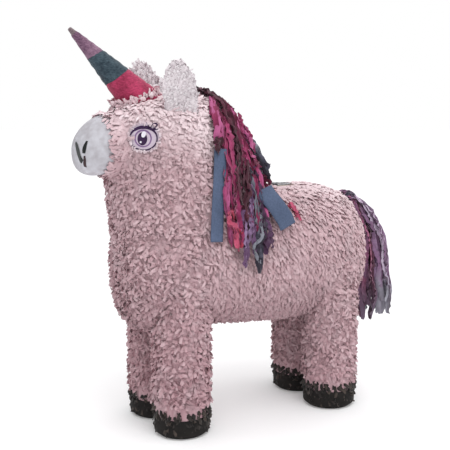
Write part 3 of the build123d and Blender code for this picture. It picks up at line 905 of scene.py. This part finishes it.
# ---- flat ribbons
def flat_ribbon(name, node, seed, curl, width, shift, lift=0):
    """Flat hanging ribbon along its CAD node, in millimetres.

    shift moves its top and bottom along the body, lift moves its top away from the neck, and
    curl turns its free end up.
    """
    height = arrays(node)[0][:, 2]
    line = np.array([middle for middle, _ in slices(scatter(node, 8000, seed)[0], 7)])
    line[0][2], line[-1][2] = height.max(), height.min()
    width *= MM
    line[:, 1] += np.linspace(*shift, len(line)) * MM
    line[:, 0] += np.linspace(lift, 0, len(line)) * MM
    line = smooth_line(line, 46)
    steps = np.linspace(0, 1, len(line))
    line[:, 0] += np.sin(steps * 5.2 + seed) * 1.0 * MM + curl * MM * np.clip(steps - 0.8, 0, 1) * 20
    out = np.zeros_like(line) + (1, 0.05, 0)
    along = unit(np.gradient(line, axis=0))
    side = unit(np.cross(along, out))
    up = np.cross(side, along)
    across = 7
    grid = np.empty((len(line), across, 2, 3))
    for j in range(across):
        share = j / (across - 1) - 0.5
        bow = (0.25 - share ** 2) * 2.2 * MM + np.sin(steps * 9 + share * 5 + seed) * 0.35 * MM
        for k, skin in enumerate((0.2, -0.2)):
            grid[:, j, k] = line + share * width * side + (bow + skin * MM)[:, None] * up
    rows = len(line)
    index = np.arange(rows * across * 2).reshape(rows, across, 2)
    faces = [quads(index[..., 0]), quads(index[..., 1])[:, ::-1]]
    for j in (0, across - 1):
        q = np.stack([index[:-1, j, 0], index[1:, j, 0], index[1:, j, 1], index[:-1, j, 1]], -1)
        faces.append(q if j == 0 else q[:, ::-1])
    for i in (0, rows - 1):
        q = np.stack([index[i, :-1, 0], index[i, :-1, 1], index[i, 1:, 1], index[i, 1:, 0]], -1)
        faces.append(q if i == 0 else q[:, ::-1])
    piece = make_mesh(name, grid.reshape(-1, 3), np.concatenate(faces), RIBBON)
    settle(piece, [node])


flat_ribbon("ribbon_long", "mane_ribbon_long", 71, 0.0, 19, (0, 0))
flat_ribbon("ribbon_short", "mane_ribbon_short", 72, 0.5, 27, (-20, -13), 9)


# ---- horn wraps
def horn_axis():
    """The horn's cone, from its wraps: a point on its axis, its direction, its change of radius
    per metre, its radius at the point, and two directions square to the axis."""
    teal, _ = scatter("horn_wrap_teal", 9000, 1)
    mauve, _ = scatter("horn_wrap_mauve", 9000, 1)
    low, high = teal.mean(0), mauve.mean(0)
    way = (high - low) / np.linalg.norm(high - low)
    both = np.vstack([teal, mauve])
    t = (both - low) @ way
    radius = np.linalg.norm(both - low - t[:, None] * way, axis=1)
    bins = np.linspace(t.min(), t.max(), 30)
    tops = [((a + b) / 2, radius[(t > a) & (t < b)].max()) for a, b in zip(bins, bins[1:])]
    slope, at = np.polyfit(*np.array(tops).T, 1)
    side = unit(np.cross(way, (1.0, 0, 0)))
    return low, way, slope, at, side, np.cross(way, side)


def horn_wrap(band, proud, slants, seed):
    """Wound paper band, proud mm outside the cone, its edges slanting by slants mm."""
    node = f"horn_wrap_{band}"
    low, way, slope, at, side, other = horn_axis()
    points, _ = scatter(node, 9000, 2)
    t = (points - low) @ way
    start, stop = np.percentile(t, 0.3) - 0.5 * MM, np.percentile(t, 99.7) + 0.5 * MM
    rows, spokes = 26, 72
    phase = np.random.default_rng(seed).uniform(0, WAVE)
    outer, inner = [], []
    for i in range(rows):
        for s in range(spokes):
            a = 2 * math.pi * s / spokes
            first = start + slants[0] * MM * math.cos(a - SLANT_TURN)
            last = stop + slants[1] * MM * math.cos(a - SLANT_TURN)
            where = first + (last - first) * i / (rows - 1)
            cone = at + slope * where
            crease = math.sin(where / MM * 0.55 + 2 * a + phase) * 0.22
            spot = Vector((math.cos(a) * 3, math.sin(a) * 3, where / MM * 0.16 + seed))
            crease += noise.noise(spot) * 0.6
            lip = 0.35 if i in (0, rows - 1) else 0.0
            radius = cone + (proud + crease * min(1, cone / (9 * MM)) - lip) * MM
            spoke = math.cos(a) * side + math.sin(a) * other
            outer.append(low + way * where + spoke * radius)
            inner.append(low + way * where + spoke * (cone - 0.95 * MM))
    places = np.array(outer + inner)
    index = np.arange(rows * spokes).reshape(rows, spokes)
    nxt = np.roll(index, -1, axis=1)
    skin = np.stack([index[:-1], nxt[:-1], nxt[1:], index[1:]], -1).reshape(-1, 4)
    back = skin[:, ::-1] + rows * spokes
    ends = []
    for row, flip in ((0, True), (rows - 1, False)):
        q = np.stack([index[row], nxt[row], nxt[row] + rows * spokes, index[row] + rows * spokes], -1)
        ends.append(q[:, ::-1] if not flip else q)
    piece = make_mesh(f"horn_paper_{band}", places, np.concatenate([skin, back] + ends), HORN[band])
    settle(piece, [node])


SLANT_TURN = 0.6     # which side of the horn the slanting edges are highest on, in radians
horn_wrap("crimson", 0.25, (0, -4), 81)
horn_wrap("teal", 0.55, (-4, -4), 82)
horn_wrap("mauve", 0.3, (-4, 0), 83)


# ---- printed eyes
EYE_HALF = (21.0, 19.5)     # half width and height of the eye card, in mm


def eye_frame(node, side):
    """A point on the eye card, with the directions out of it, up it and to its rear."""
    points, _ = scatter(node, 6000, 3)
    centre = points.mean(0)
    _, _, axes = np.linalg.svd(points - centre, full_matrices=False)
    out = axes[2] if axes[2][0] * side > 0 else -axes[2]
    up = np.array((0, 0, 1.0))
    up = unit(up - (up @ out) * out)
    rear = np.cross(up, out) * side
    return centre + out * 0.5 * MM, out, up, rear if rear[1] > 0 else -rear


def ellipse_ring(a, b, centre, inner, thick_top, count=64):
    """Outer and inner edge of an oval outline, heavier at its top."""
    edge, hole = oval(a, b, *centre, count=count), []
    for k in range(count):
        t = 2 * math.pi * k / count
        weight = inner + thick_top * max(0, math.sin(t)) ** 2
        hole.append((centre[0] + (a - weight) * math.cos(t), centre[1] + (b - weight) * math.sin(t)))
    return edge, hole


def print_piece(name, shapes, eye, material, height):
    """Raised flat shapes on the eye card. A shape is a closed outline, or outline and hole."""
    origin, out, up, rear = eye
    places, faces = [], []
    for edge, hole in shapes:
        n, start = len(edge), len(places)
        loops = [edge, hole] if hole else [edge]
        for level in (height, 0.02):
            for loop in loops:
                for u, v in loop:
                    places.append(origin + (rear * u + up * v + out * level) * MM)
        layer = n * len(loops)
        for k in range(n):
            m = (k + 1) % n
            if hole:
                faces.append((start + k, start + m, start + n + m, start + n + k))
                faces.append((start + n + k, start + n + m, start + layer + n + m, start + layer + n + k))
            faces.append((start + k, start + layer + k, start + layer + m, start + m))
        if not hole:
            faces.append(tuple(range(start, start + n)))
    settle(make_mesh(name, places, faces, material, smooth=False))


def oval(a, b, x, y, tilt=0.0, count=40):
    turn = math.radians(tilt)
    loop = []
    for k in range(count):
        t = 2 * math.pi * k / count
        u, v = a * math.cos(t), b * math.sin(t)
        loop.append((
            x + u * math.cos(turn) - v * math.sin(turn), y + u * math.sin(turn) + v * math.cos(turn)
        ))
    return loop


def stroke(points, widths, count=24):
    """Tapering pen stroke as a closed outline."""
    line = smooth_line([(x, y, 0) for x, y in points], count)[:, :2]
    wide = np.interp(np.linspace(0, 1, count), np.linspace(0, 1, len(widths)), widths)
    along = unit(np.gradient(line, axis=0))
    side = np.stack([-along[:, 1], along[:, 0]], 1) * wide[:, None] / 2
    return [tuple(p) for p in np.vstack([line + side, (line - side)[::-1]])]


LASHES = (
    ([(5, 13), (10, 14.6), (14, 17.2), (17, 16), (15.6, 13.4), (12, 12)],
     [4.6, 3.8, 2.8, 2.2, 1.8, 1.0]),
    ([(11, 9.5), (15.5, 10.6), (19.5, 10.2)], [3.4, 2.8, 1.0]),
)
EYE_PRINTS = (
    ("shadow", [(stroke([(-13, 8), (-4, 12.5), (7, 12)], [2, 4.5, 2]), None)],
     PRINT_LILAC, "eye_card", 0.10),
    ("outline", [ellipse_ring(18.6, 16.4, (-0.8, -1.6), 1.8, 2.6)]
     + [(stroke(*lash), None) for lash in LASHES],
     PRINT_PLUM, "print_black", 0.22),
    ("ring", [ellipse_ring(11.4, 11.6, (-1.4, -1.8), 1.8, 0.6)], PRINT_LILAC, "eye_card", 0.16),
    ("pupil", [(oval(6.4, 8.4, -2.4, -2.4), None)], PRINT_PLUM, "print_black", 0.24),
    ("glint", [(oval(2.8, 4.2, -0.6, 3.4, -20), None), (oval(1.3, 1.3, -4.6, -6.6), None)],
     GLINT, "eye_card", 0.30),
)
for label, side in SIDES:
    for part, shapes, material, slot_name, height in EYE_PRINTS:
        print_piece(
            f"eye_print_{part}_{label}", shapes, eye_frame(f"eye_{label}", side), material,
            height,
        )


# ---- marks on the muzzle
MUZZLE = tree_of("muzzle_cover")


def face_mark(name, strokes, material, node):
    """Printed strokes (x, z, width) in millimetres, laid on the front of the muzzle."""
    places, faces = [], []
    for points in strokes:
        line = smooth_line(points, 16) * MM
        along = unit(np.gradient(line[:, :2], axis=0))
        for k, (x, z, wide) in enumerate(line):
            across = (along[k][1], -along[k][0])
            for share in (-0.5, -0.25, 0, 0.25, 0.5):
                hit, normal, _, _ = MUZZLE.ray_cast(
                    Vector((x + across[0] * share * wide, -0.4, z + across[1] * share * wide)),
                    Vector((0, 1, 0)),
                )
                places.append(tuple(hit + normal * 0.45 * MM))
            if k:
                n = len(places)
                faces += [(n - 10 + j, n - 9 + j, n - 4 + j, n - 5 + j) for j in range(4)]
    settle(make_mesh(name, places, faces, material), [node])


face_mark(
    "nostril_marks",
    [[(0, 405, 4), (4.5, 400, 10), (10, 393, 11.5), (16, 386, 9), (21, 380.5, 7)],
     [(26.5, 407.5, 2.4), (26, 402, 4.4), (25.6, 397, 5.6), (25.4, 392, 4.4)]],
    PRINT_BLACK, "nostril_prints",
)
face_mark(
    "mouth_mark", [[(26.4, 388.5, 2.2), (25.4, 383, 3.2), (23.2, 378, 3.4), (21.6, 374, 3)]],
    PRINT_RED, "mouth_print",
)


# ---- ears
EAR_FUZZ = {
    "left": style((4, 6), (3.0, 4.8), (5, 35), (-70, 20), (-60, 60), (-40, 40), 2.4),
    "right": style((7, 11), (3.4, 5.4), (8, 40), (-60, 30), (-60, 60), (-40, 40), 3.4),
}


def tabs_piece(name, base, normal, way, rng, look, material, *nodes):
    """Tabs grown from given points, as one piece that may stand for CAD nodes."""
    down = unit(way - (way * normal).sum(1)[:, None] * normal)
    tabs, shade = grow_tabs(base, normal, down, rng, look)
    settle(tabs_mesh(name, tabs, shade, material), nodes)


for number, (label, _) in enumerate(SIDES):
    points, normals = scatter(f"ear_{label}_card", 9000, 91 + number)
    chosen = thin_out(points, 2.5 * MM)
    base, normals = points[chosen], normals[chosen]
    tabs_piece(
        f"ear_tissue_{label}", base, normals, np.zeros_like(base) + (0, 0.1, 1),
        np.random.default_rng(93 + number), EAR_FUZZ[label], EAR_TISSUE,
        f"ear_{label}_fringe", f"ear_{label}_lining",
    )


# ---- tissue round the eyes and horn
RIM = style((2.4, 4.4), (2.6, 4.4), (6, 30), (-50, 10), (-40, 40), (-40, 40), 3.0, 0.4)
RIM_TABS, BROW_TABS = 58, 150
for label, side in SIDES:
    rng = np.random.default_rng(97)
    at, out, up, rear = eye_frame(f"eye_{label}", side)
    wide, tall = EYE_HALF
    turns = np.linspace(0, 2 * math.pi, RIM_TABS, endpoint=False) + rng.normal(0, 0.04, RIM_TABS)
    rim = np.outer(np.cos(turns) * wide, rear) + np.outer(np.sin(turns) * tall, up)
    base = at + rim * rng.uniform(1.0, 1.12, RIM_TABS)[:, None] * MM
    normal = np.zeros_like(base) + out
    tabs_piece(f"eye_rim_tissue_{label}", base, normal, -rim, rng, RIM, PALE_PINK)

low, way, slope, at, side, other = horn_axis()
rng = np.random.default_rng(98)
base, spokes = [], []
for turn in rng.uniform(0, 2 * math.pi, BROW_TABS):
    spoke = math.cos(turn) * side + math.sin(turn) * other
    start = low + spoke * (at - slope * 50 * MM + rng.uniform(1.5, 5) * MM)
    hit = BODY_SKIN.ray_cast(Vector(start), Vector(-way))[0]
    if hit is not None:
        base.append(np.array(hit) - way * rng.uniform(1, 5) * MM)
        spokes.append(spoke)
base, spokes = np.array(base), np.array(spokes)
tabs_piece(
    "horn_base_tissue", base, spokes, np.zeros_like(base) + way, rng,
    style((7, 12), (3.6, 5.6), (5, 40), (-20, 60), (-40, 40), (-40, 40), 6.0, 0.5),
    LIT_BROW_TISSUE,
)


# ---- camera, light, floor
CAMERA_PLACE = (1.07544, -0.61008, 0.45523)
CAMERA_AZIMUTH, CAMERA_PITCH, CAMERA_LENS = 61.766, 8.163, 67.657
FLOOR_RADIUS, FLOOR_DROP = 14, 0.0002       # metres; the drop keeps it just under the soles


def light(name, azimuth, elevation, distance, size, power):
    lamp = bpy.data.lights.new(name, "AREA")
    lamp.energy, lamp.size = power, size
    lamp_object = add_object(name, lamp)
    a, e = math.radians(azimuth), math.radians(elevation)
    way = Vector((math.sin(a) * math.cos(e), -math.cos(a) * math.cos(e), math.sin(e)))
    lamp_object.location = Vector((0, 0, 0.28)) + way * distance
    lamp_object.rotation_euler = (-way).to_track_quat("-Z", "Y").to_euler()


def make_camera():
    azimuth, pitch = math.radians(CAMERA_AZIMUTH), math.radians(CAMERA_PITCH)
    back = Vector(
        (math.sin(azimuth) * math.cos(pitch), -math.cos(azimuth) * math.cos(pitch), math.sin(pitch))
    )
    camera = bpy.data.cameras.new("camera")
    camera.sensor_width, camera.lens = 36, CAMERA_LENS
    view = add_object("camera", camera)
    view.location = CAMERA_PLACE
    view.rotation_mode = "QUATERNION"
    view.rotation_quaternion = (-back).to_track_quat("-Z", "Y")
    bpy.context.scene.camera = view


def make_floor():
    paint = Paint("floor_paper", 0.9)      # it glows a little, so that its shadows stay light
    paint.colour(paint.ramp(paint.noise(3, 2), (0.3, rgb("f0f0f1")), (0.7, rgb("f6f6f7"))))
    paint.shader.inputs["Emission Color"].default_value = (1, 1, 1, 1)
    paint.shader.inputs["Emission Strength"].default_value = 0.15
    rings, spokes = 12, 64
    places, faces = [(0, 0, -FLOOR_DROP)], []
    for r in range(1, rings + 1):
        for s in range(spokes):
            a = 2 * math.pi * s / spokes
            radius = FLOOR_RADIUS * (r / rings) ** 2
            places.append((radius * math.cos(a), radius * math.sin(a), -FLOOR_DROP))
    for r in range(rings - 1):
        for s in range(spokes):
            a, b = 1 + r * spokes + s, 1 + r * spokes + (s + 1) % spokes
            faces.append((a, b, b + spokes, a + spokes))
    faces += [(0, 1 + s, 1 + (s + 1) % spokes) for s in range(spokes)]
    make_mesh("floor", places, faces, paint, smooth=False)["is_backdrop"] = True


def make_studio():
    """Light from all round, strongest from above, and a plain white backdrop for the camera."""
    world = bpy.data.worlds.new("studio")
    world.use_nodes = True
    nodes, links = world.node_tree.nodes, world.node_tree.links
    background = nodes["Background"]
    place = nodes.new("ShaderNodeTexCoord")
    tilt = nodes.new("ShaderNodeVectorMath")
    tilt.operation = "DOT_PRODUCT"
    tilt.inputs[1].default_value = Vector((-0.05, 0.18, 0.98)).normalized()
    links.new(place.outputs["Generated"], tilt.inputs[0])
    dome = nodes.new("ShaderNodeMapRange")
    for socket, value in (("From Min", -0.1), ("From Max", 1), ("To Min", 0.22), ("To Max", 1.42)):
        dome.inputs[socket].default_value = value
    links.new(tilt.outputs["Value"], dome.inputs["Value"])
    path = nodes.new("ShaderNodeLightPath")
    choose = nodes.new("ShaderNodeMix")
    links.new(path.outputs["Is Camera Ray"], choose.inputs[0])
    links.new(dome.outputs[0], choose.inputs[2])
    choose.inputs[3].default_value = 1.0
    links.new(choose.outputs[0], background.inputs[1])
    background.inputs[0].default_value = (1, 1, 1, 1)
    bpy.context.scene.world = world
    bpy.context.scene.view_settings.view_transform = "Standard"


make_camera()
make_floor()
make_studio()
light("key", 75, 58, 1.8, 1.0, 10)

# ---- finish of the CAD nodes
FINISH = {
    **dict.fromkeys(("torso_shell", "neck_shell", "head_shell", "fill_flap"), PAPIER),
    "flap_hinge_tape": TAPE, "hanger_backing_card": CARD, "hanger_plate": STEEL, "hanger_ring": STEEL,
    "hanger_rivets": STEEL, "muzzle_cover": WHITE, "eye_left": EYE_CARD, "eye_right": EYE_CARD,
    "ear_left_card": LINING, "ear_right_card": LINING, "horn_cone": PLAIN_CARD, "horn_tip": GREY_PAPER,
    "tail_root": PLUM,
}
for corner in CORNERS:
    FINISH[f"leg_tube_{corner}"] = CARD
    FINISH[f"hoof_sole_{corner}"] = BLACK_CARD
    FINISH[f"hoof_paper_{corner}"] = BLACK_CARD
for node, paint in FINISH.items():
    for material_slot in NODES[node].material_slots:
        material_slot.material = paint.material

low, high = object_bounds()
